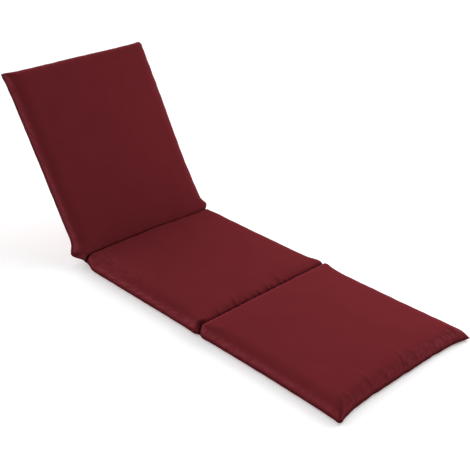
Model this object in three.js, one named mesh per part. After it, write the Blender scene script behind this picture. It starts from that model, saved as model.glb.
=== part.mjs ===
// Sun lounger cushion: a top panel and a bottom panel sewn together all round and filled,
// with two sewn channels that part the filling into a foot, a seat and a back pad.
// The foot and seat pads lie flat. The back pad stands raised at the rear channel.
// Millimetres, with X across the width, Y from the foot end to the back and Z up.
import * as THREE from "three";

// Driving dimensions of the cover, and the slope of the raised back
const WIDTH = 600;
const PAD_THICKNESS = 48;
const BACK_ANGLE = 55.5;

// The pads from the foot end to the head end. The crown is the extra thickness at the middle,
// the draw is how far each side pulls in, and the widening is extra half width at an end.
const PADS = [
  { name: "foot", length: 584, crown: 10, sideDraw: 5.5, startWiden: 5, endWiden: 0 },
  { name: "seat", length: 607, crown: 10, sideDraw: 5.5, startWiden: 0, endWiden: 0 },
  { name: "back", length: 713, crown: 10, sideDraw: 5.5, startWiden: 0, endWiden: 6 },
];
const CROWN_POWER = 4;
const SIDE_DRAW_POWER = 8;

// The seam between the panels lies low, so the top panel wraps round the sides of the pads
const SEAM_HEIGHT = 8.5;
const TOP_ROUND = 50;
const BOTTOM_ROUND = 12;
const ROUND_POWER = 2.1;

// The foot and head ends pull in between the corner ears
const FOOT_END_DRAW = 22.5;
const HEAD_END_DRAW = 4;
const END_DRAW_POWER = 4.75;
const END_DRAW_FADE = 120;
const EAR_LENGTH = 3;
const EAR_REACH = 22;

// The sewn channels: only the stitched layers lie between the panels, and each end pulls in
const CHANNEL_BOTTOM = 6;
const CHANNEL_TOP = 10;
const CHANNEL_ROUND = 26;
const CHANNEL_LIFT_REACH = 10;
const CHANNEL_ENDS = [
  { notch: 9, frontReach: 14, rearReach: 14 },
  { notch: 22.5, frontReach: 42, rearReach: 30 },
];

// At the rear channel the pads press on each other, and the cover bunches into a heel behind it
const FOLD_HEIGHT = 9;
const FOLD_GAP = 1.2;
const HEEL_BULGE = { size: 22.5, at: 48.5, reach: 22, middleShare: 0.35, sidePower: 4 };
const HEEL_FLARE = { size: 12.5, at: 33, reach: 20 };
const HEEL_END = 100;

// Mesh steps
const ROUND_STEPS = 5;
const MIDDLE_COLUMNS = 8;
const MIDDLE_ROWS = 7;
const HEEL_ROWS = 5;

const COVER = { color: 0x6b2529, roughness: 0.9, metalness: 0 };

const { clamp, degToRad, lerp } = THREE.MathUtils;
const PAD_STARTS = [0, PADS[0].length, PADS[0].length + PADS[1].length];
const CHANNELS = PAD_STARTS.slice(1);
const REAR_CHANNEL = CHANNELS[1];
const COVER_LENGTH = REAR_CHANNEL + PADS[2].length;

// A smooth hump of height one that fades over the given reach
function hump(distance, reach) {
  return Math.exp(-((distance / reach) ** 2));
}

// Height share of a rounded edge: zero at the seam, one past the rounding
function rounded(distance, radius) {
  const inward = clamp(distance / radius, 0, 1);
  return (1 - (1 - inward) ** ROUND_POWER) ** (1 / ROUND_POWER);
}

// The pad that holds a station, and the station's place in it from -1 to 1
function padAt(station) {
  const passed = CHANNELS.filter((channel) => station > channel).length;
  const pad = PADS[passed];
  return { pad, place: (2 * (station - PAD_STARTS[passed])) / pad.length - 1 };
}

// How far the side seam pulls in at the ends of the channels
function channelNotches(station) {
  return CHANNEL_ENDS.reduce((sum, { notch, frontReach, rearReach }, i) => {
    const behind = station - CHANNELS[i];
    return sum + notch * hump(behind, behind > 0 ? rearReach : frontReach);
  }, 0);
}

// Half the width between the side seams at a station along the cover
function halfWidth(station) {
  const { pad, place } = padAt(station);
  const drawnIn = pad.sideDraw * (1 - place ** SIDE_DRAW_POWER);
  const widening = pad.startWiden * clamp(-place, 0, 1) + pad.endWiden * clamp(place, 0, 1);
  const behindFold = station - REAR_CHANNEL;
  const flare = behindFold > 0 ? HEEL_FLARE.size * hump(behindFold - HEEL_FLARE.at, HEEL_FLARE.reach) : 0;
  const ears = EAR_LENGTH * (hump(station, EAR_REACH) + hump(COVER_LENGTH - station, EAR_REACH));
  return WIDTH / 2 - drawnIn + widening - channelNotches(station) + flare + ears;
}

// How far an end of the cover pulls in at a place across it, less the length of the ears
function endDraw(draw, across) {
  const toCorner = ((1 - Math.abs(across)) * WIDTH) / 2;
  return draw * (1 - Math.abs(across) ** END_DRAW_POWER) - EAR_LENGTH * hump(toCorner, EAR_REACH);
}

// Place along the unfolded cover, with its two ends pulled in
function along(station, across) {
  const atFoot = endDraw(FOOT_END_DRAW, across) * Math.exp(-station / END_DRAW_FADE);
  const atHead = endDraw(HEAD_END_DRAW, across) * Math.exp((station - COVER_LENGTH) / END_DRAW_FADE);
  return station + atFoot - atHead;
}

// Distances from a point of the cover to its side seam, its nearer end and the nearer channel
function distances(station, across) {
  return {
    side: halfWidth(station) * (1 - Math.abs(across)),
    end: Math.min(station, COVER_LENGTH - station),
    channel: Math.min(...CHANNELS.map((channel) => Math.abs(station - channel))),
  };
}

// How far the cover sags out of the back pad's rear behind the fold, most of all at the sides
function heelBulge(station, across) {
  const { size, at, reach, middleShare, sidePower } = HEEL_BULGE;
  const behindFold = station - REAR_CHANNEL;
  const share = lerp(middleShare, 1, Math.abs(across) ** sidePower);
  return behindFold > 0 ? size * share * hump(behindFold - at, reach) : 0;
}

// Height of the bottom panel: flat, but rising to the seam and to the stitched channels
function bottomHeight(station, across) {
  const { side, end, channel } = distances(station, across);
  const rise = SEAM_HEIGHT * (1 - rounded(side, BOTTOM_ROUND) * rounded(end, BOTTOM_ROUND));
  const stitched = hump(channel, CHANNEL_LIFT_REACH) * clamp(side / BOTTOM_ROUND, 0, 1);
  return lerp(rise, CHANNEL_BOTTOM, stitched) - heelBulge(station, across);
}

// Height of the top panel: crowned pads with rounded edges, held down at the channels
function topHeight(station, across) {
  const { pad, place } = padAt(station);
  const { side, end, channel } = distances(station, across);
  const crowned = PAD_THICKNESS + pad.crown * (1 - place ** CROWN_POWER) * (1 - across ** 2);
  const edge = rounded(side, TOP_ROUND) * rounded(end, TOP_ROUND);
  const held = lerp(CHANNEL_TOP, crowned, rounded(channel, CHANNEL_ROUND));
  const free = lerp(SEAM_HEIGHT, held, edge);
  const toFold = Math.abs(station - REAR_CHANNEL);
  const pressed = FOLD_HEIGHT + (toFold - FOLD_GAP) / Math.tan(degToRad(BACK_ANGLE / 2));
  return Math.min(free, Math.max(pressed, CHANNEL_TOP)) - heelBulge(station, across) * (1 - edge);
}

// Carries a point of the unfolded cover to its place, the back pad turned up about the rear channel
function folded(x, y, z) {
  const turn = y > REAR_CHANNEL ? degToRad(BACK_ANGLE) : 0;
  const hinge = new THREE.Vector3(0, REAR_CHANNEL, FOLD_HEIGHT);
  const point = new THREE.Vector3(x, y, z).sub(hinge);
  return point.applyAxisAngle(new THREE.Vector3(1, 0, 0), turn).add(hinge);
}

// Distances from an edge that space the mesh evenly round a quarter turn
function roundSteps(radius) {
  return Array.from({ length: ROUND_STEPS + 1 }, (_, i) => {
    return radius * (1 - Math.cos((i / ROUND_STEPS) * (Math.PI / 2)));
  });
}

// Steps strictly between two values, closer together near both of them
function between(low, high, count) {
  return Array.from({ length: count - 1 }, (_, i) => {
    const share = (i + 1) / count;
    return lerp(low, high, (share + THREE.MathUtils.smoothstep(share, 0, 1)) / 2);
  });
}

// Stations of the mesh along a pad: close round its two ends, wide between them
function padStations(pad, i) {
  const start = PAD_STARTS[i];
  const end = start + pad.length;
  const startRound = i === 0 ? TOP_ROUND : CHANNEL_ROUND;
  const endRound = i === PADS.length - 1 ? TOP_ROUND : CHANNEL_ROUND;
  const rise = roundSteps(startRound).map((step) => start + step);
  const fall = roundSteps(endRound).map((step) => end - step).reverse();
  const heel = start === REAR_CHANNEL ? between(rise.at(-1), start + HEEL_END, HEEL_ROWS) : [];
  const low = [...rise, ...heel].at(-1);
  return [...rise, ...heel, ...between(low, fall[0], MIDDLE_ROWS), ...fall];
}

// Places across the cover from -1 to 1: close round the sides, wide between them
function columns() {
  const side = roundSteps(TOP_ROUND).map((step) => step / (WIDTH / 2) - 1);
  const middle = between(side.at(-1), -side.at(-1), MIDDLE_COLUMNS);
  return [...side, ...middle, ...side.map((place) => -place).reverse()];
}

// The closed surface: a grid for each panel, which share the points of the seam
function cushionGeometry() {
  const rows = [...new Set(PADS.flatMap(padStations))];
  const places = columns();
  const positions = [];
  const addPoint = (station, across, height) => {
    const point = folded(halfWidth(station) * across, along(station, across), height);
    positions.push(point.x, point.y, point.z);
    return positions.length / 3 - 1;
  };
  const onSeam = (i, j) => {
    return i === 0 || j === 0 || i === rows.length - 1 || j === places.length - 1;
  };
  const top = rows.map((s) => places.map((e) => addPoint(s, e, topHeight(s, e))));
  const bottom = rows.map((s, i) => places.map((e, j) => {
    return onSeam(i, j) ? top[i][j] : addPoint(s, e, bottomHeight(s, e));
  }));
  const indices = [];
  for (let i = 0; i < rows.length - 1; i++) {
    for (let j = 0; j < places.length - 1; j++) {
      indices.push(top[i][j], top[i][j + 1], top[i + 1][j + 1]);
      indices.push(top[i][j], top[i + 1][j + 1], top[i + 1][j]);
      indices.push(bottom[i][j], bottom[i + 1][j + 1], bottom[i][j + 1]);
      indices.push(bottom[i][j], bottom[i + 1][j], bottom[i + 1][j + 1]);
    }
  }
  const geometry = new THREE.BufferGeometry();
  geometry.setAttribute("position", new THREE.Float32BufferAttribute(positions, 3));
  geometry.setIndex(indices);
  geometry.computeVertexNormals();
  return geometry;
}

// Puts the origin under the middle of the box that holds the whole cushion
function centred(geometry) {
  geometry.computeBoundingBox();
  const { min, max } = geometry.boundingBox;
  return geometry.translate(-(min.x + max.x) / 2, -(min.y + max.y) / 2, -min.z);
}

const cushion = new THREE.Mesh(centred(cushionGeometry()), new THREE.MeshStandardMaterial(COVER));
cushion.name = "cushion";

const group = new THREE.Group();
group.add(cushion);
export default group;
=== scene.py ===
import bpy
import numpy as np
from mathutils import Euler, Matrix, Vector


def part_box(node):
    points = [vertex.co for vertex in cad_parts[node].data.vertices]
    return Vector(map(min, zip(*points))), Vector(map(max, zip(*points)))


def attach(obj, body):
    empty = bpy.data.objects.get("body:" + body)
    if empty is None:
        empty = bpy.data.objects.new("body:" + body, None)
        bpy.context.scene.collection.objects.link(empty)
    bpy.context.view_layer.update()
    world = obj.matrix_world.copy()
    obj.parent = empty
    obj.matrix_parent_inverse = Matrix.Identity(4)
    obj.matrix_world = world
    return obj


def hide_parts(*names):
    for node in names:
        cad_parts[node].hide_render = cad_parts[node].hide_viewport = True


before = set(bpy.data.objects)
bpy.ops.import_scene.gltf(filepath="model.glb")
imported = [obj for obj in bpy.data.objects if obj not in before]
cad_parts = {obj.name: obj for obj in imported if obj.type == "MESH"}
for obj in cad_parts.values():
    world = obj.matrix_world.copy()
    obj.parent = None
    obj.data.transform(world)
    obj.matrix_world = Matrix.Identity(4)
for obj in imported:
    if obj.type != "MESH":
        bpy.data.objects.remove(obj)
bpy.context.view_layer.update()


# The view. The camera stands at the foot end's left and looks down along the cushion.
# Its place, turn and lens were solved from the cushion's outline, pads and channels.
CAMERA_PLACE = (-1.9684, -2.0610, 1.6722)
CAMERA_AZIMUTH = -44.63
CAMERA_ELEVATION = 27.80
CAMERA_ROLL = 0.95
CAMERA_FOCAL_PIXELS = 961.4
FRAME_PIXELS = 470
SENSOR_WIDTH = 36.0


def photo_camera():
    """A camera that looks down by the elevation, is turned by the azimuth and then tilted by the roll."""
    data = bpy.data.cameras.new("photo_camera")
    data.sensor_width = SENSOR_WIDTH
    data.lens = SENSOR_WIDTH * CAMERA_FOCAL_PIXELS / FRAME_PIXELS
    camera = bpy.data.objects.new("photo_camera", data)
    bpy.context.scene.collection.objects.link(camera)
    camera.location = CAMERA_PLACE
    aim = Euler(np.radians((90.0 - CAMERA_ELEVATION, 0.0, CAMERA_AZIMUTH))).to_matrix()
    camera.rotation_euler = (aim @ Euler((0.0, 0.0, np.radians(CAMERA_ROLL))).to_matrix()).to_euler()
    bpy.context.scene.camera = camera


photo_camera()


# The cover's form. Two panels of canvas are sewn together all round and turned, filled with soft
# padding and sewn through across the width, which leaves a foot, a seat and a back pad.
# The seam lies low, so the top panel wraps round the sides of the pads.
WIDTH = 0.600
PAD_LENGTHS = np.array((0.584, 0.607, 0.713))
SEAM_HEIGHT = 0.0085
TOP_ROUND = 0.050
BOTTOM_ROUND = 0.012
ROUND_POWER = 2.1
FRONT_CHANNEL = PAD_LENGTHS[0]
REAR_CHANNEL = PAD_LENGTHS[:2].sum()
COVER_LENGTH = PAD_LENGTHS.sum()


def hump(distance, reach):
    """A bell of height one: e to the power of minus the squared distance over the reach."""
    return np.exp(-((distance / reach) ** 2))


def rounded(distance, radius):
    """Height share of a rounded edge: a quarter of a superellipse that rises from 0 to 1 over the radius."""
    outward = 1.0 - np.clip(distance / radius, 0.0, 1.0)
    return (1.0 - outward**ROUND_POWER) ** (1.0 / ROUND_POWER)


def notch(behind, sizes):
    """A bell at a channel's end, with one reach in front of the channel and another behind it."""
    depth, front_reach, rear_reach = sizes
    return depth * hump(behind, np.where(behind > 0.0, rear_reach, front_reach))


def place_in_pad(station):
    """The station's place in its own pad, from -1 at the foot side to 1 at the head side."""
    starts = np.array((0.0, FRONT_CHANNEL, REAR_CHANNEL))
    pad = (station > FRONT_CHANNEL).astype(int) + (station > REAR_CHANNEL)
    return 2.0 * (station - starts[pad]) / PAD_LENGTHS[pad] - 1.0


# The side seams. A notch is its depth, its reach in front of the channel and its reach behind
SIDE_DRAW = 0.0055
SIDE_DRAW_POWER = 8
FOOT_WIDEN = 0.005
HEAD_WIDEN = 0.006
FRONT_NOTCH = (0.009, 0.014, 0.014)
REAR_NOTCH = (0.0225, 0.042, 0.030)
HEEL_FLARE = 0.0125
HEEL_FLARE_AT = 0.033
HEEL_FLARE_REACH = 0.020
EAR_LENGTH = 0.003
EAR_REACH = 0.022


def half_width(station):
    """Half the cover's width: half of WIDTH, less each pad's draw, one less a high power of the place in
    the pad, and less the channels' notches, plus the widening of both ends, the heel's flare and the ears."""
    drawn_in = SIDE_DRAW * (1.0 - place_in_pad(station) ** SIDE_DRAW_POWER)
    behind_fold = station - REAR_CHANNEL
    to_foot = np.clip(1.0 - station / (FRONT_CHANNEL / 2), 0.0, 1.0)
    to_head = np.clip(behind_fold / (PAD_LENGTHS[2] / 2) - 1.0, 0.0, 1.0)
    notches = notch(station - FRONT_CHANNEL, FRONT_NOTCH) + notch(behind_fold, REAR_NOTCH)
    flare = HEEL_FLARE * hump(behind_fold - HEEL_FLARE_AT, HEEL_FLARE_REACH) * (behind_fold > 0.0)
    ears = EAR_LENGTH * (hump(station, EAR_REACH) + hump(COVER_LENGTH - station, EAR_REACH))
    return WIDTH / 2 - drawn_in + FOOT_WIDEN * to_foot + HEAD_WIDEN * to_head - notches + flare + ears


# The foot end and the head end
FOOT_END_DRAW = 0.0195
HEAD_END_DRAW = 0.004
END_DRAW_POWER = 4.75


def end_draw(draw, across):
    """How far an end pulls in: the draw times one less a power of across, less a bell at each ear."""
    to_corner = (1.0 - np.abs(across)) * WIDTH / 2
    return draw * (1.0 - np.abs(across) ** END_DRAW_POWER) - EAR_LENGTH * hump(to_corner, EAR_REACH)


# The wander of a seam that is guided by hand
FOOT_WANDER = 0.0013
HEAD_WANDER = 0.0005
SIDE_WANDER = 0.0006
WANDER_LENGTHS = (0.047, 0.071, 0.127)
WANDER_REACH = 0.020
FOOT_PHASE = 0.6
HEAD_PHASE = 2.1
LEFT_PHASE = 1.3
RIGHT_PHASE = 3.3


def seam_wander(place, phase):
    """How a hand-guided seam wanders, one at most: the mean of three sines of unlike lengths."""
    waves = [
        np.sin(2.0 * np.pi * place / length + phase * (i + 1)) for i, length in enumerate(WANDER_LENGTHS)
    ]
    return sum(waves) / len(waves)


# The pressed seam
SEAM_RIDGE = 0.0014
SEAM_RIDGE_REACH = 0.0004


def at_rim(distance):
    """The seam's own pressed ridge, which fades within a few tenths of a millimetre of cloth."""
    return SEAM_RIDGE * hump(distance, SEAM_RIDGE_REACH)


# The corners, which are rounded off by unlike amounts
EAR_BLUNT_FRONT_LEFT = 0.0085
EAR_BLUNT_FRONT_RIGHT = 0.0010
EAR_BLUNT_HEAD = 0.0035
EAR_BLUNT_REACH = 0.011


def ear_blunt(station, across):
    """How far a corner is rounded off, along and across alike: a bell round the corner."""
    to_corner = (1.0 - np.abs(across)) * WIDTH / 2
    at_front = np.where(across < 0.0, EAR_BLUNT_FRONT_LEFT, EAR_BLUNT_FRONT_RIGHT)
    front = at_front * hump(np.hypot(station, to_corner), EAR_BLUNT_REACH)
    head = EAR_BLUNT_HEAD * hump(np.hypot(COVER_LENGTH - station, to_corner), EAR_BLUNT_REACH)
    return front, head


# The skew of the two ends, and how far along the cover their shapes reach
FOOT_END_SKEW = 0.0065
HEAD_END_SKEW = 0.0042
END_DRAW_FADE = 0.120
EAR_SKEW_POWER = 6


def along(station, across):
    """The place along the unfolded cover: the station, shifted by each end's draw and skew, its seam's
    wander, its blunt corners and its ridge, all of which fade inwards."""
    skew = FOOT_END_SKEW * (1.0 - across) / 2 * (1.0 - np.abs(across) ** EAR_SKEW_POWER)
    at_foot = (end_draw(FOOT_END_DRAW, across) + skew) * np.exp(-station / END_DRAW_FADE)
    at_head = end_draw(HEAD_END_DRAW, across) * np.exp((station - COVER_LENGTH) / END_DRAW_FADE)
    from_head = COVER_LENGTH - station
    place = across * WIDTH / 2
    at_head = at_head + HEAD_END_SKEW * np.clip(across, 0.0, 1.0) * hump(from_head, END_DRAW_FADE)
    at_foot = at_foot + FOOT_WANDER * seam_wander(place, FOOT_PHASE) * hump(station, WANDER_REACH)
    at_head = at_head + HEAD_WANDER * seam_wander(place, HEAD_PHASE) * hump(from_head, WANDER_REACH)
    front_blunt, head_blunt = ear_blunt(station, across)
    at_foot = at_foot + front_blunt - at_rim(station)
    at_head = at_head + head_blunt - at_rim(from_head)
    return station + at_foot - at_head


# The heel, where the cover bunches behind the rear channel
HEEL_BULGE = 0.0225
HEEL_BULGE_AT = 0.0485
HEEL_BULGE_REACH = 0.022
HEEL_MIDDLE_SHARE = 0.35
HEEL_SIDE_POWER = 4


def heel_bulge(station, across):
    """How far the cover sags out behind the fold: a bell along the cover, fullest at the two sides."""
    behind_fold = station - REAR_CHANNEL
    share = HEEL_MIDDLE_SHARE + (1.0 - HEEL_MIDDLE_SHARE) * across**HEEL_SIDE_POWER
    return HEEL_BULGE * share * hump(behind_fold - HEEL_BULGE_AT, HEEL_BULGE_REACH) * (behind_fold > 0.0)


def to_edges(station, across):
    """Distances to the side seam, to the nearer end and to the nearer channel."""
    side = half_width(station) * (1.0 - np.abs(across))
    end = np.minimum(station, COVER_LENGTH - station)
    channel = np.minimum(np.abs(station - FRONT_CHANNEL), np.abs(station - REAR_CHANNEL))
    return side, end, channel


# The pads' rims beside the channels
CHANNEL_ROUND = 0.026
FOOT_LIP_ROUND = 0.016
SEAT_FRONT_ROUND = 0.046
SLOT_ROUND = 0.005
SLOT_SHARE = 0.42


def channel_share(station, channel):
    """Height share of the pads beside a channel: a narrow slot, and above it a rounded rim. At the
    front channel the rim is narrow on the foot pad's lip and wide on the seat pad's front."""
    behind = station - FRONT_CHANNEL
    at_front = np.where(behind > 0.0, SEAT_FRONT_ROUND, FOOT_LIP_ROUND)
    is_front = np.abs(behind) < 2.0 * SEAT_FRONT_ROUND
    radius = np.where(is_front, at_front, CHANNEL_ROUND)
    slot = np.where(is_front, SLOT_SHARE, 0.0)
    return slot * rounded(channel, SLOT_ROUND) + (1.0 - slot) * rounded(channel, radius)


# The stitched layers, seen from below
CHANNEL_BOTTOM = 0.006
CHANNEL_LIFT_REACH = 0.010


def bottom_height(station, across):
    """Flat on the ground: nought, rising to the seam's height by one less the rounded shares at the rim,
    and drawn to the stitched layers' height by a bell at the channels, less the heel's bulge."""
    side, end, channel = to_edges(station, across)
    rise = SEAM_HEIGHT * (1.0 - rounded(side, BOTTOM_ROUND) * rounded(end, BOTTOM_ROUND))
    stitched = hump(channel, CHANNEL_LIFT_REACH) * np.clip(side / BOTTOM_ROUND, 0.0, 1.0)
    return rise + (CHANNEL_BOTTOM - rise) * stitched - heel_bulge(station, across)


# The pads' sides are squarer beside the channels
SQUARE_SHARE = 0.72
SQUARE_REACH = 0.050


def rim_share(station, across):
    """Height share of the rounded rim: the product of the shares at the side and at the end. The side's
    radius is smaller beside the channels, by a bell."""
    side, end, channel = to_edges(station, across)
    side_round = TOP_ROUND * (1.0 - SQUARE_SHARE * hump(channel, SQUARE_REACH))
    return rounded(side, side_round) * rounded(end, TOP_ROUND)


# The filled pads
PAD_THICKNESS = 0.048
PAD_CROWN = 0.010
CROWN_LENGTH_POWER = 4
CROWN_WIDTH_POWER = 2
CHANNEL_TOP = 0.010


def free_height(station, across):
    """Crowned pads with rounded rims: the thickness plus the crown, which is one less a power of the place
    along times one less a power of across, brought down to the channels and the seam by their shares."""
    channel = to_edges(station, across)[2]
    crown = PAD_CROWN * (1.0 - place_in_pad(station) ** CROWN_LENGTH_POWER)
    crown = crown * (1.0 - np.abs(across) ** CROWN_WIDTH_POWER)
    held = CHANNEL_TOP + (PAD_THICKNESS + crown - CHANNEL_TOP) * channel_share(station, channel)
    return SEAM_HEIGHT + (held - SEAM_HEIGHT) * rim_share(station, across)


# The fold at the rear channel, where the back pad is turned up
BACK_ANGLE = np.radians(55.5)
FOLD_HEIGHT = 0.009
FOLD_GAP = 0.0012
FOLD_WANDER = -0.012
FOLD_WANDER_AT = 0.200
FOLD_WANDER_REACH = 0.100


def pressed_height(station, across):
    """Where the seat and back pads press on each other, on the plane halfway between them, which wanders:
    the distance from the fold over the tangent of half the back's slope."""
    behind_fold = station - REAR_CHANNEL
    wander = FOLD_WANDER * hump(half_width(station) * across - FOLD_WANDER_AT, FOLD_WANDER_REACH)
    to_fold = np.abs(behind_fold) - FOLD_GAP - wander * np.sign(behind_fold)
    return np.maximum(FOLD_HEIGHT + to_fold / np.tan(BACK_ANGLE / 2), CHANNEL_TOP)


# How softly the fold's mouth is rounded
FOLD_MOUTH = 0.0026


def top_height(station, across):
    """The lower of the free and the pressed height, with the fold's mouth rounded: a soft minimum."""
    free, pressed = free_height(station, across), pressed_height(station, across)
    lower = -FOLD_MOUTH * np.logaddexp(-free / FOLD_MOUTH, -pressed / FOLD_MOUTH)
    return lower - heel_bulge(station, across) * (1.0 - rim_share(station, across))


# The foot end's place in the frame
FOOT_END_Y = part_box("cushion")[0].y + EAR_LENGTH


def folded(x, y, z):
    """Turns what lies behind the rear channel up by the back's slope, about a line in the channel."""
    behind, above = y - REAR_CHANNEL, z - FOLD_HEIGHT
    turned_y = REAR_CHANNEL + behind * np.cos(BACK_ANGLE) - above * np.sin(BACK_ANGLE)
    turned_z = FOLD_HEIGHT + behind * np.sin(BACK_ANGLE) + above * np.cos(BACK_ANGLE)
    is_back = behind > 0.0
    return np.stack((x, np.where(is_back, turned_y, y) + FOOT_END_Y, np.where(is_back, turned_z, z)), -1)


# The back pad's lean
BACK_LEAN = 0.0065
BACK_LEAN_POWER = 1.6
BACK_LEAN_START = 0.050


def back_lean(station):
    """How far the back pad lies to one side: from left to right as a power of the place up the back, and
    nothing at the fold, from where it sets in by a falling exponential."""
    behind_fold = np.maximum(station - REAR_CHANNEL, 0.0)
    share = (behind_fold / PAD_LENGTHS[2]) ** BACK_LEAN_POWER
    return BACK_LEAN * (2.0 * share - 1.0 + np.exp(-behind_fold / BACK_LEAN_START))


# The slack of the sides, and the uneven right side of the back pad, in shares of the pad's length
SIDE_SLACK = 0.0010
LEFT_SLACK = 0.0009
SLACK_REACH = 0.050
BACK_RIGHT_SWAY = 0.0025
BACK_RIGHT_HOLLOW = 0.0022
BACK_RIGHT_HOLLOW_AT = 0.28
BACK_RIGHT_HOLLOW_REACH = 0.20


def sideways(station, across):
    """The place across the cover: across times the half width, with the side seams' wander, ridge, blunt
    corners and slack, where the back's right side sways by a sine and a bell, and shifted by the lean."""
    side = to_edges(station, across)[0]
    phase = np.where(across > 0.0, RIGHT_PHASE, LEFT_PHASE)
    outer = SIDE_WANDER * seam_wander(station, phase) * hump(side, WANDER_REACH)
    outer = outer + at_rim(side) - sum(ear_blunt(station, across))
    in_front = np.clip((REAR_CHANNEL - station) / SLACK_REACH, 0.0, 1.0)
    up_back = np.clip((station - REAR_CHANNEL) / PAD_LENGTHS[2], 0.0, 1.0)
    hollow = hump(up_back - BACK_RIGHT_HOLLOW_AT, BACK_RIGHT_HOLLOW_REACH) * (up_back > 0.0)
    right = -BACK_RIGHT_SWAY * np.sin(2.0 * np.pi * up_back) - BACK_RIGHT_HOLLOW * hollow
    sway = np.where(across < 0.0, LEFT_SLACK * in_front, right)
    outer = outer + (SIDE_SLACK + sway) * hump(side, SLACK_REACH)
    return half_width(station) * across + np.sign(across) * outer + back_lean(station)


def panel(height, station, across):
    """Points of a panel: the places across and along the cover, and the given height."""
    return folded(sideways(station, across), along(station, across), height(station, across))


def round_steps(radius, count):
    """Distances from an edge that divide a quarter turn of the radius evenly."""
    return radius * (1.0 - np.cos(np.linspace(0.0, np.pi / 2, count + 1)))


def spaced(low, high, low_round, high_round, round_count, step):
    """Places between two edges: a quarter turn's steps at each, and even steps between them."""
    rise = low + round_steps(low_round, round_count)
    fall = (high - round_steps(high_round, round_count))[::-1]
    count = int(round((fall[0] - rise[-1]) / step))
    return np.concatenate((rise, np.linspace(rise[-1], fall[0], count + 1)[1:-1], fall))


# The steps of the grids, about 3 mm across and 9 mm along, and closer round the rims and channels
ROUND_COUNT = 14
ROW_STEP = 0.0090
COLUMN_STEP = 0.0033
foot_rows = spaced(0.0, FRONT_CHANNEL, TOP_ROUND, CHANNEL_ROUND, ROUND_COUNT, ROW_STEP)
seat_rows = spaced(FRONT_CHANNEL, REAR_CHANNEL, CHANNEL_ROUND, CHANNEL_ROUND, ROUND_COUNT, ROW_STEP)
back_rows = spaced(REAR_CHANNEL, COVER_LENGTH, CHANNEL_ROUND, TOP_ROUND, ROUND_COUNT, ROW_STEP)
stations = np.concatenate((foot_rows[:-1], seat_rows[:-1], back_rows))
places = spaced(-WIDTH / 2, WIDTH / 2, TOP_ROUND, TOP_ROUND, ROUND_COUNT, COLUMN_STEP) / (WIDTH / 2)
station_grid, across_grid = np.meshgrid(stations, places, indexing="ij")
flat_x = half_width(station_grid) * across_grid
side_grid, end_grid, channel_grid = to_edges(station_grid, across_grid)

top_points = panel(top_height, station_grid, across_grid)
bottom_points = panel(bottom_height, station_grid, across_grid)


# The gathers. The cover is cut longer and wider than its seams draw it to, so short puckers run
# away from the channels, the ends and the sides, and the corners are pinched into ears.
GATHER_START = 0.005
RIDGE_SHARE = 0.5
RIDGE_WIDTH = 2.0
DEPTH_SPREAD = (0.2, 1.0)
WIDTH_SPREAD = (0.7, 1.4)
LENGTH_SPREAD = (0.5, 1.2)
LEAN_SPREAD = 0.25
RANDOM_SEED = 11
random = np.random.default_rng(RANDOM_SEED)


def outward(points):
    """Unit normals of a grid of points: the cross product of its two directions."""
    normal = np.cross(np.gradient(points, axis=1), np.gradient(points, axis=0))
    return normal / -np.linalg.norm(normal, axis=-1, keepdims=True)


def gathered(along_seam, from_seam, places, depths, widths, lengths, leans):
    """Height of puckers. Each is a valley between two soft ridges, a bell less a share of a wider bell,
    and it leans, widens and fades out with the distance from the seam."""
    distance = np.maximum(from_seam, 0.0)[..., None]
    beside = (along_seam[..., None] - places - leans * distance) / (widths * (1.0 + distance / lengths))
    valley = hump(beside, 1.0) - RIDGE_SHARE * hump(beside, RIDGE_WIDTH)
    fade = hump(distance, lengths) * np.clip(distance / GATHER_START, 0.0, 1.0)
    return -(depths * valley * fade).sum(-1) * (from_seam > 0.0)


def scattered(low, high, count, depth, width, length):
    """Random puckers along a seam, about evenly apart: places, depths, widths, lengths and leans."""
    places = low + (np.arange(count) + random.uniform(0.0, 1.0, count)) * (high - low) / count
    depths = depth * random.uniform(*DEPTH_SPREAD, count)
    widths = width * random.uniform(*WIDTH_SPREAD, count)
    lengths = length * random.uniform(*LENGTH_SPREAD, count)
    return places, depths, widths, lengths, random.normal(0.0, LEAN_SPREAD, count)


# Puckers that show clearly on the seat pad's front: place across, depth and length
SEAT_FRONT_GATHERS = np.array([
    (-0.200, 0.0048, 0.034),
    (-0.160, 0.0040, 0.026),
    (-0.128, 0.0072, 0.044),
    (-0.072, 0.0022, 0.024),
    (-0.037, 0.0052, 0.030),
    (-0.014, 0.0058, 0.028),
    (0.023, 0.0066, 0.034),
    (0.047, 0.0050, 0.026),
    (0.081, 0.0062, 0.032),
    (0.110, 0.0030, 0.026),
    (0.160, 0.0014, 0.022),
])
# Puckers that show clearly at the foot end: place across, depth and length
FOOT_END_GATHERS = np.array([
    (-0.284, 0.0050, 0.056),
    (-0.268, 0.0030, 0.040),
    (-0.226, 0.0036, 0.050),
    (-0.172, 0.0016, 0.034),
    (-0.134, 0.0034, 0.062),
    (-0.120, 0.0018, 0.030),
    (-0.060, 0.0030, 0.044),
    (-0.028, 0.0012, 0.036),
    (0.012, 0.0034, 0.066),
    (0.028, 0.0020, 0.034),
    (0.076, 0.0030, 0.048),
    (0.128, 0.0014, 0.060),
    (0.164, 0.0034, 0.040),
    (0.212, 0.0020, 0.056),
    (0.246, 0.0036, 0.044),
    (0.272, 0.0046, 0.050),
    (0.289, 0.0030, 0.034),
])
CHOSEN_WIDTHS = (0.0038, 0.0072)
CHOSEN_LEAN = 0.30
EAR_FAN = 0.9
EAR_FAN_POWER = 3


def chosen(table):
    """The puckers in a seam's list, of uneven widths and leans, which fan out towards the two corners."""
    places, depths, lengths = table.T
    fan = EAR_FAN * (places / (WIDTH / 2)) ** EAR_FAN_POWER
    leans = random.normal(0.0, CHOSEN_LEAN, len(places)) - fan
    return places, depths, random.uniform(*CHOSEN_WIDTHS, len(places)), lengths, leans


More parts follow.
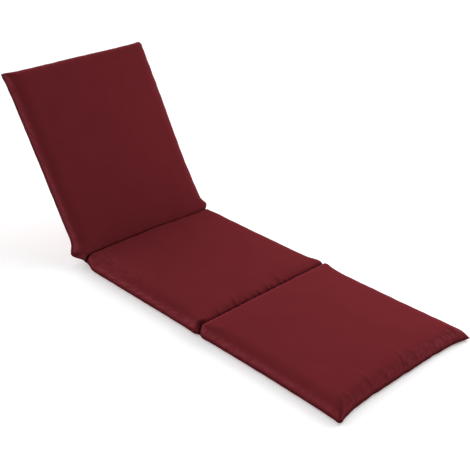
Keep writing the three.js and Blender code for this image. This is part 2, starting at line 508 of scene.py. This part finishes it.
behind_front = station_grid - FRONT_CHANNEL
behind_rear = station_grid - REAR_CHANNEL
to_head_end = COVER_LENGTH - station_grid
gathers = gathered(flat_x, behind_front, *chosen(SEAT_FRONT_GATHERS))
gathers += gathered(flat_x, station_grid, *chosen(FOOT_END_GATHERS))

# Small puckers all along each cross seam: distance from it, count, depth, width and length
SMALL_GATHERS = [
    (station_grid, 24, 0.0011, 0.0045, 0.022),
    (behind_front, 26, 0.0010, 0.0045, 0.020),
    (-behind_front, 30, 0.0014, 0.0050, 0.022),
    (-behind_rear, 22, 0.0012, 0.0060, 0.030),
    (behind_rear, 22, 0.0022, 0.0070, 0.055),
    (to_head_end, 24, 0.0020, 0.0055, 0.036),
]
SEAM_SPAN = 0.290
for from_seam, *sizes in SMALL_GATHERS:
    gathers += gathered(flat_x, from_seam, *scattered(-SEAM_SPAN, SEAM_SPAN, *sizes))

# Small puckers along each side seam: count, depth, width and length
SIDE_GATHERS = (46, 0.0013, 0.0110, 0.034)
FROM_ENDS = 0.03
for way in (-1.0, 1.0):
    at_side = np.where(across_grid * way > 0.0, side_grid, 0.0)
    gathers += gathered(station_grid, at_side, *scattered(FROM_ENDS, COVER_LENGTH - FROM_ENDS, *SIDE_GATHERS))

# Each corner is pinched: a sine of the angle round it times a bell of the distance from it
EAR_PINCH = 0.0018
EAR_PINCH_AT = 0.024
EAR_PINCH_REACH = 0.015
EAR_PINCH_WAVES = 9.0
from_corner = np.hypot(side_grid, end_grid)
round_corner = np.arctan2(side_grid, end_grid)
pinched = hump(from_corner - EAR_PINCH_AT, EAR_PINCH_REACH) * np.clip(from_corner / EAR_PINCH_REACH, 0.0, 1.0)
rim_free = np.clip(np.minimum(side_grid, end_grid) / GATHER_START, 0.0, 1.0)
gathers += EAR_PINCH * np.sin(EAR_PINCH_WAVES * round_corner) * pinched * rim_free

# Slack hollows: place along the cover, distance from the side seam, depth, reach along, reach across
SLACK_HOLLOWS = [
    (FRONT_CHANNEL + 0.010, 0.020, 0.0060, 0.011, 0.030),
    (REAR_CHANNEL + 0.036, 0.003, 0.0060, 0.012, 0.007),
]
RIGHT_HOLLOW_SHARE = 0.5
slack = np.where(across_grid < 0.0, 1.0, RIGHT_HOLLOW_SHARE)
hollow_grid = np.zeros_like(slack)
for at, inward, depth, reach_along, reach_across in SLACK_HOLLOWS:
    hollow = slack * hump(station_grid - at, reach_along) * hump(side_grid - inward, reach_across)
    hollow_grid = np.maximum(hollow_grid, hollow)
    gathers -= depth * hollow * rim_free

# The channels' own lines stay straight
gathers *= np.clip(channel_grid / GATHER_START, 0.0, 1.0)
top_points = top_points + outward(top_points) * gathers[..., None]


# The filling's push. The top panel is cut as a flat sheet, a little wider and longer than its
# seams, and the soft filling presses it out. It is settled as cloth: the seams, the channels
# and the fold hold it fast, and the filling holds the rest softly.
CUT_WIDTH_SHARE = 1.0
CUT_LENGTH_SHARE = 0.3
HELD_AT_CHANNEL = 0.0015
HELD_AT_FOLD = 0.022
FILLING_HOLD = 0.30
EDGE_HOLD_SHARE = 0.5
EDGE_HOLD_REACH = 0.060
LUMP_HEIGHT = 0.0002
LUMP_WAVES = 60
LUMP_SIZES = (0.060, 0.200)
SETTLE_FRAMES = 14
MOST_MOVE = 0.008


def arc_lengths(points, axis):
    """Distance along a grid's lines from their start: the running sum of the steps' lengths."""
    steps = np.linalg.norm(np.diff(points, axis=axis), axis=-1)
    start = np.zeros_like(np.take(steps, [0], axis=axis))
    return np.concatenate((start, np.cumsum(steps, axis=axis)), axis=axis)


def flat_sheet(points):
    """The panel as it was cut: each row is as wide as the mean of the pads' middle rows, and each column's
    length is a share of the way to the middle column's."""
    own_x = arc_lengths(points, 1)
    own_x = own_x - own_x[:, -1:] / 2
    pad_middles = (PAD_LENGTHS[0] / 2, FRONT_CHANNEL + PAD_LENGTHS[1] / 2, REAR_CHANNEL + PAD_LENGTHS[2] / 2)
    middle_rows = [np.argmin(np.abs(stations - middle)) for middle in pad_middles]
    cut_x = own_x[middle_rows].mean(0)
    own_y = arc_lengths(points, 0)
    cut_y = own_y[:, own_y.shape[1] // 2][:, None]
    x = own_x + (cut_x - own_x) * CUT_WIDTH_SHARE
    y = own_y + (cut_y - own_y) * CUT_LENGTH_SHARE
    return np.stack((x, y, np.zeros_like(x)), -1)


def lumps(x, y):
    """The filling's unevenness, about one high: a sum of sines of random lengths, directions and phases."""
    height = np.zeros_like(x)
    for size, way, phase in zip(
        random.uniform(*LUMP_SIZES, LUMP_WAVES),
        random.uniform(0.0, 2.0 * np.pi, LUMP_WAVES),
        random.uniform(0.0, 2.0 * np.pi, LUMP_WAVES),
    ):
        height = height + np.sin(2.0 * np.pi * (x * np.cos(way) + y * np.sin(way)) / size + phase)
    return height / np.sqrt(LUMP_WAVES / 2)


def grid_quads(index):
    """The four corners of each cell of a grid of vertex numbers."""
    return np.stack((index[:-1, :-1], index[:-1, 1:], index[1:, 1:], index[1:, :-1]), -1).reshape(-1, 4)


def settled(points):
    """The top panel after the filling has pressed it out. No point moves further than MOST_MOVE."""
    near = np.minimum(np.minimum(side_grid, end_grid), channel_grid)
    free = np.clip(near / (2.0 * GATHER_START), 0.0, 1.0)
    start = points + outward(points) * (LUMP_HEIGHT * lumps(flat_x, station_grid) * free)[..., None]
    index = np.arange(flat_x.size).reshape(flat_x.shape)
    mesh = bpy.data.meshes.new("settling_panel")
    mesh.from_pydata(start.reshape(-1, 3).tolist(), [], grid_quads(index).tolist())
    sheet = bpy.data.objects.new("settling_panel", mesh)
    bpy.context.scene.collection.objects.link(sheet)

    share = EDGE_HOLD_SHARE + (1.0 - EDGE_HOLD_SHARE) * np.clip(near / EDGE_HOLD_REACH, 0.0, 1.0)
    hold = FILLING_HOLD * share
    fast = (side_grid <= 0.0) | (end_grid <= 0.0) | (channel_grid < HELD_AT_CHANNEL)
    fast = fast | (np.abs(station_grid - REAR_CHANNEL) < HELD_AT_FOLD)
    hold = np.round(np.where(fast, 1.0, hold), 2).ravel()
    group = sheet.vertex_groups.new(name="held")
    for weight in np.unique(hold):
        group.add(np.flatnonzero(hold == weight).tolist(), float(weight), "REPLACE")
    sheet.shape_key_add(name="Basis")
    cut = sheet.shape_key_add(name="cut")
    cut.data.foreach_set("co", flat_sheet(start).astype(np.float32).ravel())
    cut.value = 0.0

    modifier = sheet.modifiers.new("cloth", "CLOTH")
    fabric = modifier.settings
    fabric.quality = 4
    fabric.mass = 0.2
    fabric.tension_stiffness = 15.0
    fabric.compression_stiffness = 15.0
    fabric.shear_stiffness = 5.0
    fabric.bending_stiffness = 0.2
    fabric.tension_damping = 5.0
    fabric.compression_damping = 5.0
    fabric.shear_damping = 5.0
    fabric.bending_damping = 1.0
    fabric.air_damping = 2.0
    fabric.use_pressure = True
    fabric.uniform_pressure_force = 1.0
    fabric.rest_shape_key = cut
    fabric.vertex_group_mass = "held"
    fabric.effector_weights.gravity = 0.0
    modifier.collision_settings.use_collision = False
    modifier.collision_settings.use_self_collision = False
    modifier.point_cache.frame_start = 1
    modifier.point_cache.frame_end = SETTLE_FRAMES
    for number in range(1, SETTLE_FRAMES + 1):
        bpy.context.scene.frame_set(number)
    result = sheet.evaluated_get(bpy.context.evaluated_depsgraph_get()).to_mesh()
    moved = np.empty(flat_x.size * 3, np.float32)
    result.vertices.foreach_get("co", moved)
    bpy.data.objects.remove(sheet)
    bpy.data.meshes.remove(mesh)
    bpy.context.scene.frame_set(1)

    move = moved.reshape(points.shape) - points
    distance = np.linalg.norm(move, axis=-1, keepdims=True)
    return points + move * (MOST_MOVE / np.maximum(distance, MOST_MOVE))


top_points = settled(top_points)


# The sewn cover. The top panel and the bottom panel meet in one seam all round, which closes the
# filled cushion, so the two grids share their rims and make one closed piece.
def cushion_mesh(name, top, bottom):
    """A closed mesh of two grids. The bottom grid's rim is the top grid's rim, so the seam is shared."""
    rows, columns = top.shape[:2]
    top_index = np.arange(rows * columns).reshape(rows, columns)
    bottom_index = top_index.copy()
    bottom_index[1:-1, 1:-1] = rows * columns + np.arange((rows - 2) * (columns - 2)).reshape(rows - 2, -1)
    points = np.concatenate((top.reshape(-1, 3), bottom[1:-1, 1:-1].reshape(-1, 3)))

    faces = np.concatenate((grid_quads(top_index), grid_quads(bottom_index)[:, ::-1]))
    mesh = bpy.data.meshes.new(name)
    mesh.vertices.add(len(points))
    mesh.vertices.foreach_set("co", points.ravel())
    mesh.loops.add(faces.size)
    mesh.loops.foreach_set("vertex_index", faces.ravel())
    mesh.polygons.add(len(faces))
    mesh.polygons.foreach_set("loop_start", np.arange(0, faces.size, 4))
    mesh.update(calc_edges=True)
    mesh.validate()
    mesh.shade_smooth()
    piece = bpy.data.objects.new(name, mesh)
    bpy.context.scene.collection.objects.link(piece)
    return piece


cushion = cushion_mesh("cushion_cover", top_points, bottom_points)


def both_panels(top, bottom):
    """Values for the mesh's vertices: the top grid's, then the bottom grid's without its rim."""
    return np.concatenate((top.ravel(), bottom[1:-1, 1:-1].ravel())).astype(np.float32)


def add_attribute(piece, name, values):
    """Keeps one number for each vertex, which the cloth's material reads by name."""
    piece.data.attributes.new(name, "FLOAT", "POINT").data.foreach_set("value", values)


def add_thread_places(piece, panels):
    """A UV map in metres of cloth: the distances along and across each panel as it was cut."""
    places = []
    for points, turned in panels:
        sheet = flat_sheet(points)[..., :2].reshape(-1, 2)
        cells = grid_quads(np.arange(points.shape[0] * points.shape[1]).reshape(points.shape[:2]))
        places.append(sheet[cells[:, ::-1] if turned else cells].reshape(-1, 2))
    layer = piece.data.uv_layers.new(name="thread_place")
    layer.data.foreach_set("uv", np.concatenate(places).astype(np.float32).ravel())


# The painted light and shade. A painted highlight makes the cloth pale beside the seams, on the foot pad's
# lip, on the seat pad's left rim and towards the foot end's right, and painted shade darkens the seam lines,
# the sewn grooves, the fold and the slack hollows.
HIGHLIGHT_AT = 0.005
HIGHLIGHT_REACH = 0.006
FOOT_SIDE_HIGHLIGHT_SHARE = 0.35
LIP_HIGHLIGHT_AT = 0.011
LIP_HIGHLIGHT_REACH = 0.005
LIP_HIGHLIGHT_SHARE = 1.0
SEAM_SHADE_REACH = 0.0010
SEAM_SHADE_SHARE = 0.65
CHANNEL_SHADE_REACH = 0.0076
FOLD_SHADE_SHARE = 0.90
FOLD_SHADE_DEPTH = 0.004
HOLLOW_SHADE_SHARE = 0.8
END_HIGHLIGHT_AT = 0.010
END_HIGHLIGHT_REACH = 0.024
END_HIGHLIGHT_SHARE = 0.85
SEAT_HIGHLIGHT_AT = REAR_CHANNEL - 0.130
SEAT_HIGHLIGHT_REACH = 0.150
SEAT_HIGHLIGHT_INWARD = 0.080
SEAT_HIGHLIGHT_SHARE = 0.55
PUCKER_REACH = 0.009

rim_grid = np.minimum(side_grid, end_grid)
on_foot = np.clip(1.0 - station_grid / FRONT_CHANNEL, 0.0, 1.0)
# A painted highlight: paler near the rims, on the foot pad's lip, on the seat pad's left rim and towards the
# foot end's right.
painted_highlight = hump(rim_grid - HIGHLIGHT_AT, HIGHLIGHT_REACH) * (1.0 - (1.0 - FOOT_SIDE_HIGHLIGHT_SHARE) * on_foot)
lip = LIP_HIGHLIGHT_SHARE * hump(-behind_front - LIP_HIGHLIGHT_AT, LIP_HIGHLIGHT_REACH)
seat_rim_highlight = hump(station_grid - SEAT_HIGHLIGHT_AT, SEAT_HIGHLIGHT_REACH) * hump(side_grid, SEAT_HIGHLIGHT_INWARD)
seat_rim_highlight = SEAT_HIGHLIGHT_SHARE * seat_rim_highlight * (across_grid < 0.0)
foot_end_highlight = hump(station_grid - END_HIGHLIGHT_AT, END_HIGHLIGHT_REACH) * (1.0 + across_grid) / 2
highlight_mask = np.maximum.reduce((painted_highlight, lip, seat_rim_highlight, END_HIGHLIGHT_SHARE * foot_end_highlight)) * (1.0 - hollow_grid)
# Painted shade: darker at the seam lines, in the channels, in the fold and in the slack hollows.
seam_shade = SEAM_SHADE_SHARE * hump(rim_grid, SEAM_SHADE_REACH)
groove_shade = np.maximum(seam_shade, hump(channel_grid, CHANNEL_SHADE_REACH))
fold_depth = free_height(station_grid, across_grid) - pressed_height(station_grid, across_grid)
fold_shade = FOLD_SHADE_SHARE * np.clip(fold_depth / FOLD_SHADE_DEPTH, 0.0, 1.0)
hollow_shade = HOLLOW_SHADE_SHARE * hollow_grid**2
shade_mask = np.maximum.reduce((groove_shade, fold_shade, hollow_shade))
add_attribute(cushion, "painted_highlight", both_panels(highlight_mask, painted_highlight))
add_attribute(cushion, "painted_groove_shade", both_panels(shade_mask, groove_shade))
by_end = hump(np.minimum(end_grid, channel_grid), PUCKER_REACH)
by_side = hump(side_grid, PUCKER_REACH)
add_attribute(cushion, "by_end_seam", both_panels(by_end, by_end))
add_attribute(cushion, "by_side_seam", both_panels(by_side, by_side))
add_thread_places(cushion, ((top_points, False), (bottom_points, True)))

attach(cushion, "root")
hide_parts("cushion")


# The canvas. It is a plain weave of thick burgundy yarn with slubs in it, dyed a little unevenly,
# with a matt face. Every pattern lies on the panels as they were cut, in metres of cloth.
class Strand:
    """A socket in a node tree. Adding to it, multiplying it and so on adds a Math node."""

    def __init__(self, tree, socket):
        self.tree = tree
        self.socket = socket

    def node(self, kind, values, output=0, **settings):
        """A new node of a type, with its settings first and then the values or links of its inputs."""
        made = self.tree.nodes.new(kind)
        for name, setting in settings.items():
            setattr(made, name, setting)
        for key, value in values.items():
            if isinstance(value, Strand):
                self.tree.links.new(value.socket, made.inputs[key])
            else:
                made.inputs[key].default_value = value
        return Strand(self.tree, made.outputs[output])

    def maths(self, operation, first, second=0.0):
        """A Math node of one or two values."""
        return self.node("ShaderNodeMath", {0: first, 1: second}, operation=operation)

    def __add__(self, other):
        return self.maths("ADD", self, other)

    def __sub__(self, other):
        return self.maths("SUBTRACT", self, other)

    def __rsub__(self, other):
        return self.maths("SUBTRACT", other, self)

    def __mul__(self, other):
        return self.maths("MULTIPLY", self, other)

    def __pow__(self, other):
        return self.maths("POWER", self, other)

    __radd__ = __add__
    __rmul__ = __mul__


THREAD_WIDTH = 0.0009
SLUB_WIDTH = 0.0025
SLUB_LENGTH = 0.060
SLUB_CHANGE = 0.10
CLOUD_SIZE = 0.090
CLOUD_CHANGE = 0.14
PATCH_SIZE = 0.018
PATCH_CONTRAST = 2.2
PUCKER_WIDTH = 0.0050
PUCKER_LENGTH = 0.030
BURGUNDY = (0.153, 0.0196, 0.0243, 1.0)
# The colours of the painted highlight on the rims and of the painted shade in the grooves
HIGHLIGHT_BURGUNDY = (0.245, 0.042, 0.054, 1.0)
GROOVE_SHADE_BURGUNDY = (0.030, 0.0030, 0.0040, 1.0)
CANVAS_ROUGHNESS = 0.9
HIGHLIGHT_SMOOTHNESS = 0.06
CLOUD_ROUGHNESS = 0.08
SLUB_HEIGHT = 1.5
WEAVE_STRENGTH = 0.5
WEAVE_DEPTH = 0.00012
PUCKER_STRENGTH = 0.6
PUCKER_DEPTH = 0.0016
SHEEN = 0.05
SHEEN_ROUGHNESS = 0.25
SHEEN_TINT = (1.0, 0.40, 0.45, 1.0)


def canvas():
    """Burgundy plain-weave canvas: round threads over and under, slubs along both ways of the weave,
    faint clouds in the dye, a painted highlight on the rims, painted shade in the grooves, and fine puckers
    at the seams."""
    material = bpy.data.materials.new("burgundy_canvas")
    material.use_nodes = True
    tree = material.node_tree
    shader = tree.nodes["Principled BSDF"]
    start = Strand(tree, shader.outputs[0])
    cut = start.node("ShaderNodeUVMap", {}, uv_map="thread_place")
    across = start.node("ShaderNodeSeparateXYZ", {0: cut}, output="X")
    along_cloth = start.node("ShaderNodeSeparateXYZ", {0: cut}, output="Y")

    def mask(name):
        """The piece's own number by name, from nought to one."""
        return start.node("ShaderNodeAttribute", {}, output="Fac", attribute_name=name)

    def noise(scale, detail=1.0):
        """Smooth noise on the cut cloth, with a scale for each way of it."""
        scaled = start.node("ShaderNodeVectorMath", {0: cut, 1: scale}, operation="MULTIPLY")
        return start.node("ShaderNodeTexNoise", {"Vector": scaled, "Scale": 1.0, "Detail": detail})

    def wave(place, length):
        """A sine along the cloth."""
        return start.maths("SINE", place * (2.0 * np.pi / length))

    def streaks(scale):
        """Noise from minus one to one."""
        return noise(scale) * 2.0 - 1.0

    def mixed(share, first, second):
        """A colour between two others: sockets 6 and 7 are the node's colours, and output 2 its result."""
        return start.node("ShaderNodeMix", {0: share, 6: first, 7: second}, 2, data_type="RGBA")

    weft = noise((1.0 / SLUB_LENGTH, 1.0 / SLUB_WIDTH, 0.0))
    warp = noise((1.0 / SLUB_WIDTH, 1.0 / SLUB_LENGTH, 0.0))
    clouds = noise((1.0 / CLOUD_SIZE, 1.0 / CLOUD_SIZE, 0.0), detail=2.0)
    tone = 1.0 + (weft + warp - 1.0) * SLUB_CHANGE + (clouds - 0.5) * CLOUD_CHANGE
    patchy = noise((1.0 / PATCH_SIZE, 1.0 / PATCH_SIZE, 0.0), detail=2.0)
    # The painted highlight and the painted shade are mixed into the base colour.
    patchy_highlight = mask("painted_highlight") * (patchy * PATCH_CONTRAST - (PATCH_CONTRAST - 1.0) / 2)
    shaded = mixed(mask("painted_groove_shade"), mixed(patchy_highlight, BURGUNDY, HIGHLIGHT_BURGUNDY), GROOVE_SHADE_BURGUNDY)
    toned = start.node("ShaderNodeVectorMath", {0: shaded, "Scale": tone}, operation="SCALE")
    tree.links.new(toned.socket, shader.inputs["Base Color"])
    roughness = CANVAS_ROUGHNESS - mask("painted_highlight") * HIGHLIGHT_SMOOTHNESS + (clouds - 0.5) * CLOUD_ROUGHNESS
    tree.links.new(roughness.socket, shader.inputs["Roughness"])

    threads = wave(across, 2.0 * THREAD_WIDTH) * wave(along_cloth, 2.0 * THREAD_WIDTH)
    end_puckers = streaks((1.0 / PUCKER_WIDTH, 1.0 / PUCKER_LENGTH, 0.0)) * mask("by_end_seam")
    side_puckers = streaks((1.0 / PUCKER_LENGTH, 1.0 / PUCKER_WIDTH, 0.0)) * mask("by_side_seam")
    cloth_height = threads + (weft + warp) * SLUB_HEIGHT
    yarn = {"Strength": WEAVE_STRENGTH, "Distance": WEAVE_DEPTH, "Height": cloth_height}
    weave = start.node("ShaderNodeBump", yarn, "Normal")
    puckers = {"Strength": PUCKER_STRENGTH, "Distance": PUCKER_DEPTH, "Height": end_puckers + side_puckers}
    relief = start.node("ShaderNodeBump", {**puckers, "Normal": weave}, "Normal")
    tree.links.new(relief.socket, shader.inputs["Normal"])
    shader.inputs["Specular IOR Level"].default_value = 0.0
    shader.inputs["Sheen Weight"].default_value = SHEEN
    shader.inputs["Sheen Roughness"].default_value = SHEEN_ROUGHNESS
    shader.inputs["Sheen Tint"].default_value = SHEEN_TINT
    return material


cushion.data.materials.append(canvas())


# The channels' stitches. Both channels are sewn through the two panels by one lockstitch row each,
# in polyester thread of the cover's own colour. The stitches pull in, so each one stands up as a
# short arch on the top panel and on the bottom panel.
STITCH_PITCH = 0.0045
STITCH_LENGTH = 0.0036
STITCH_ARCH = 0.0003
THREAD_RADIUS = 0.00035
STITCH_END_SHARE = 0.3
STITCH_SIDES = 6
STITCH_RINGS = 5
STITCH_END_POWER = 4
STITCH_MARGIN = 0.014
THREAD_BURGUNDY = (0.110, 0.012, 0.016)
THREAD_ROUGHNESS = 0.7
PLY_LENGTH = 0.0004
PLY_DEPTH = 0.00005
PLY_PAINTED_SHADE = 0.15
PLY_STRENGTH = 0.5


def stitch_row(station, surface, facing):
    """Rings of points of the stitches along a channel. Each ring is a circle round the thread, which
    arches out from the cloth by one less the squared place along the stitch, and whose radius falls
    by a power of that place, so it is thin where it goes in at its two ends."""
    reach = half_width(np.array(station)) - STITCH_MARGIN
    count = int(2.0 * reach / STITCH_PITCH)
    x = (np.arange(count) - (count - 1) / 2) * STITCH_PITCH
    across = x / half_width(np.array(station))
    here = np.full(count, station)
    centres = folded(x + back_lean(here), along(here, across), surface(here, across))
    place = np.linspace(-1.0, 1.0, STITCH_RINGS)
    radius = THREAD_RADIUS * (1.0 - (1.0 - STITCH_END_SHARE) * place**STITCH_END_POWER)
    turn = 2.0 * np.pi * np.arange(STITCH_SIDES) / STITCH_SIDES
    ring_x = np.broadcast_to((place * STITCH_LENGTH / 2)[:, None], (STITCH_RINGS, STITCH_SIDES))
    ring_y = radius[:, None] * np.cos(turn)
    ring_z = facing * STITCH_ARCH * (1.0 - place**2)[:, None] + radius[:, None] * np.sin(turn)
    return centres[:, None, None] + np.stack((ring_x, ring_y, ring_z), -1)


def stitches(name, station):
    """One piece of all the stitches of a channel: tubes between the rings, closed at both ends."""
    rows = (stitch_row(station, top_height, 1.0), stitch_row(station, bottom_height, -1.0))
    points = np.concatenate(rows)
    index = np.arange(points[..., 0].size).reshape(points.shape[:3])
    beside = np.roll(index, -1, axis=2)
    tubes = np.stack((index[:, :-1], beside[:, :-1], beside[:, 1:], index[:, 1:]), -1).reshape(-1, 4)
    caps = np.concatenate((index[:, 0, ::-1], index[:, -1]))
    mesh = bpy.data.meshes.new(name)
    mesh.from_pydata(points.reshape(-1, 3).tolist(), [], tubes.tolist() + caps.tolist())
    mesh.shade_smooth()
    piece = bpy.data.objects.new(name, mesh)
    bpy.context.scene.collection.objects.link(piece)
    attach(piece, "root")
    return piece


def sewing_thread():
    """Burgundy sewing thread: its plies are twisted together, so it has slanting ridges, with painted shade
    darker between them.
    """
    material = bpy.data.materials.new("burgundy_thread")
    material.use_nodes = True
    tree = material.node_tree
    shader = tree.nodes["Principled BSDF"]
    start = Strand(tree, shader.outputs[0])
    place = start.node("ShaderNodeTexCoord", {}, output="Object")
    x = start.node("ShaderNodeSeparateXYZ", {0: place}, output="X")
    y = start.node("ShaderNodeSeparateXYZ", {0: place}, output="Y")
    ply = start.maths("SINE", (x + y) * (2.0 * np.pi / PLY_LENGTH))
    # Painted shade: the colour is darker between the ply ridges.
    toned = start.node(
        "ShaderNodeVectorMath", {0: THREAD_BURGUNDY, "Scale": 1.0 + ply * PLY_PAINTED_SHADE}, operation="SCALE"
    )
    tree.links.new(toned.socket, shader.inputs["Base Color"])
    ridges = start.node(
        "ShaderNodeBump", {"Strength": PLY_STRENGTH, "Distance": PLY_DEPTH, "Height": ply}, "Normal"
    )
    tree.links.new(ridges.socket, shader.inputs["Normal"])
    shader.inputs["Roughness"].default_value = THREAD_ROUGHNESS
    return material


thread = sewing_thread()
for name, station in (("front_channel_stitches", FRONT_CHANNEL), ("rear_channel_stitches", REAR_CHANNEL)):
    stitches(name, station).data.materials.append(thread)


# The surroundings: a plain white ground with a faint glow of its own, as overexposed paper has,
# a soft white dome that is brightest behind the cushion and at its right, and two soft lights.
FLOOR_SIZE = 30.0
FLOOR_WHITE = (0.9, 0.9, 0.9, 1.0)
FLOOR_GLOW = 0.30
floor_mesh = bpy.data.meshes.new("floor")
half = FLOOR_SIZE / 2
corners = [(-half, -half, 0.0), (half, -half, 0.0), (half, half, 0.0), (-half, half, 0.0)]
floor_mesh.from_pydata(corners, [], [(0, 1, 2, 3)])
floor = bpy.data.objects.new("floor", floor_mesh)
bpy.context.scene.collection.objects.link(floor)
white = bpy.data.materials.new("white_ground")
white.use_nodes = True
ground = white.node_tree.nodes["Principled BSDF"]
ground.inputs["Base Color"].default_value = FLOOR_WHITE
ground.inputs["Roughness"].default_value = 1.0
ground.inputs["Specular IOR Level"].default_value = 0.0
ground.inputs["Emission Color"].default_value = (1.0, 1.0, 1.0, 1.0)
ground.inputs["Emission Strength"].default_value = FLOOR_GLOW
floor.data.materials.append(white)

DOME_LOBES = [
    ((0.0, 1.0, 0.15), 0.990),
    ((1.0, 0.0, 0.15), 0.894),
    ((-1.0, 0.0, 0.15), 0.110),
    ((-0.7, 0.0, 0.7), 0.170),
    ((0.0, 0.7, 0.7), 0.016),
]
LOBE_POWER = 3.0
LOBE_GAIN = 3.0
BACKDROP_WHITE = 0.97


def dome():
    """A white sky: the sum of soft lobes, each a power of the cosine between the sky's place and its
    centre. Where nothing stands before it, it is plain white."""
    world = bpy.data.worlds.new("white_dome")
    world.use_nodes = True
    tree = world.node_tree
    base = Strand(tree, tree.nodes["Background"].outputs[0])
    place = base.node("ShaderNodeTexCoord", {}, output="Generated")
    brightness = 0.0
    for centre, strength in DOME_LOBES:
        towards = Vector(centre).normalized()
        facing = base.node("ShaderNodeVectorMath", {0: place, 1: towards}, "Value", operation="DOT_PRODUCT")
        lobe = base.maths("MAXIMUM", facing, 0.0) ** LOBE_POWER
        brightness = brightness + lobe * (LOBE_GAIN * strength)
    seen = base.node("ShaderNodeLightPath", {}, output="Is Camera Ray")
    brightness = brightness * (1.0 - seen) + seen * BACKDROP_WHITE
    tree.nodes["Background"].inputs["Color"].default_value = (1.0, 1.0, 1.0, 1.0)
    tree.links.new(brightness.socket, tree.nodes["Background"].inputs["Strength"])
    bpy.context.scene.world = world


LIGHT_AIM = Vector((0.0, 0.0, 0.15))


def soft_light(name, azimuth, elevation, distance, size, power):
    """A square area light round the aim: azimuth 0 is behind the back pad and 90 is at the right."""
    turn, rise = np.radians((azimuth, elevation))
    towards = Vector((np.cos(rise) * np.sin(turn), np.cos(rise) * np.cos(turn), np.sin(rise)))
    data = bpy.data.lights.new(name, "AREA")
    data.size = size
    data.energy = power
    light = bpy.data.objects.new(name, data)
    bpy.context.scene.collection.objects.link(light)
    light.location = LIGHT_AIM + distance * towards
    light.rotation_euler = (-towards).to_track_quat("-Z", "Y").to_euler()


dome()
soft_light("foot_end_light", azimuth=125.0, elevation=28.0, distance=1.5, size=0.8, power=5.6)
soft_light("right_light", azimuth=90.0, elevation=35.0, distance=2.6, size=1.2, power=8.5)
bpy.context.scene.view_settings.view_transform = "Standard"
